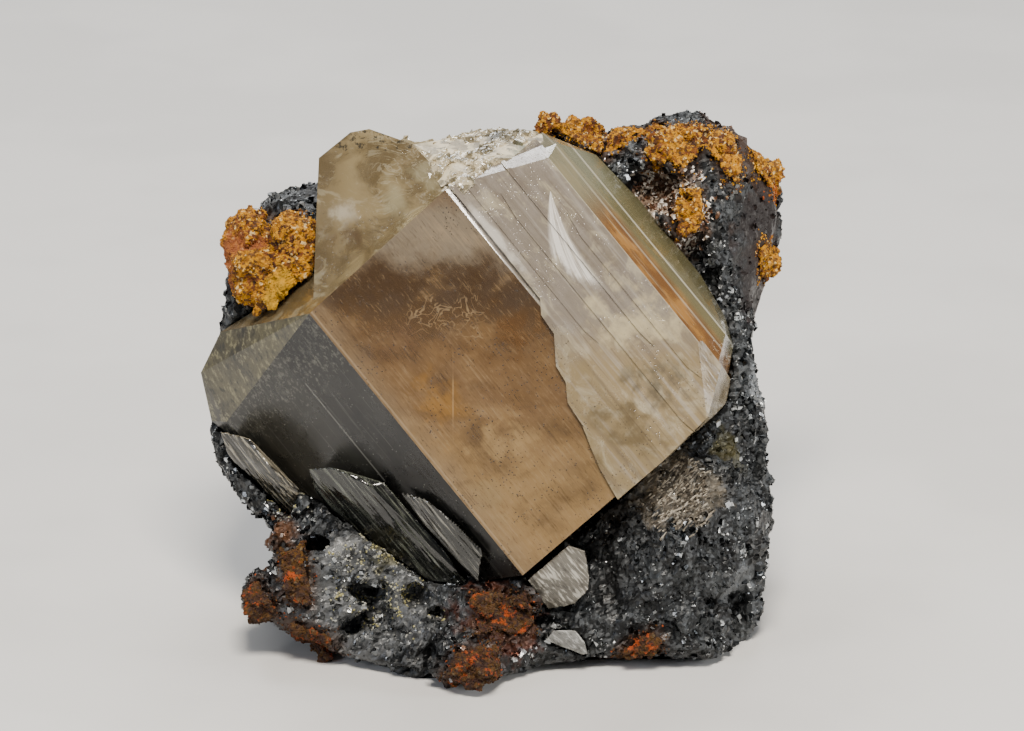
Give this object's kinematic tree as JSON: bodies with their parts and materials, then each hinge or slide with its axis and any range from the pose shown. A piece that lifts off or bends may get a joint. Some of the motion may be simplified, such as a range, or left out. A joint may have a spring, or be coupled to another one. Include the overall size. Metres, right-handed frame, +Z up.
{
  "type": "phosgenite crystal specimen on galena",
  "caption": "Hand specimen: a large, see-through brown phosgenite prism with smaller blades, grown on dark broken galena with orange iron oxide crusts.",
  "frame": {"origin": "bottom centre of the whole specimen's box, on the surface it rests on", "axes": "+X to the right across the large crystal's face, +Y away from the viewer into the rock behind, +Z up"},
  "size_m": [0.0646, 0.0582, 0.0543],
  "materials": {
    "galena": "lead-grey galena, dull and granular with bright metallic cleavage flecks",
    "phosgenite": "clear to milky brown crystal, adamantine polish with fine growth lines",
    "grey_phosgenite": "cloudy grey crystal, glassy and streaked along its length",
    "limonite": "dull, earthy orange-brown iron oxide crust"
  },
  "bodies": {
    "root": {"cleavage_plate": "grey_phosgenite", "galena_matrix": "galena", "left_blade_crystal": "grey_phosgenite", "limonite_crust_bottom_lower": "limonite", "limonite_crust_bottom_upper": "limonite", "limonite_crust_edge": "limonite", "limonite_crust_lobe_left": "limonite", "limonite_crust_lobe_under": "limonite", "limonite_crust_low_edge": "limonite", "limonite_crust_middle": "limonite", "limonite_crust_patch": "limonite", "limonite_crust_ridge": "limonite", "limonite_crust_right_foot": "limonite", "limonite_crust_top": "limonite", "limonite_crust_vein": "limonite", "limonite_nodule": "limonite", "lower_blade_crystal": "grey_phosgenite", "lower_crystal": "grey_phosgenite", "phosgenite_crystal": "phosgenite", "ragged_crystal": "grey_phosgenite"}
  },
  "joints": []
}
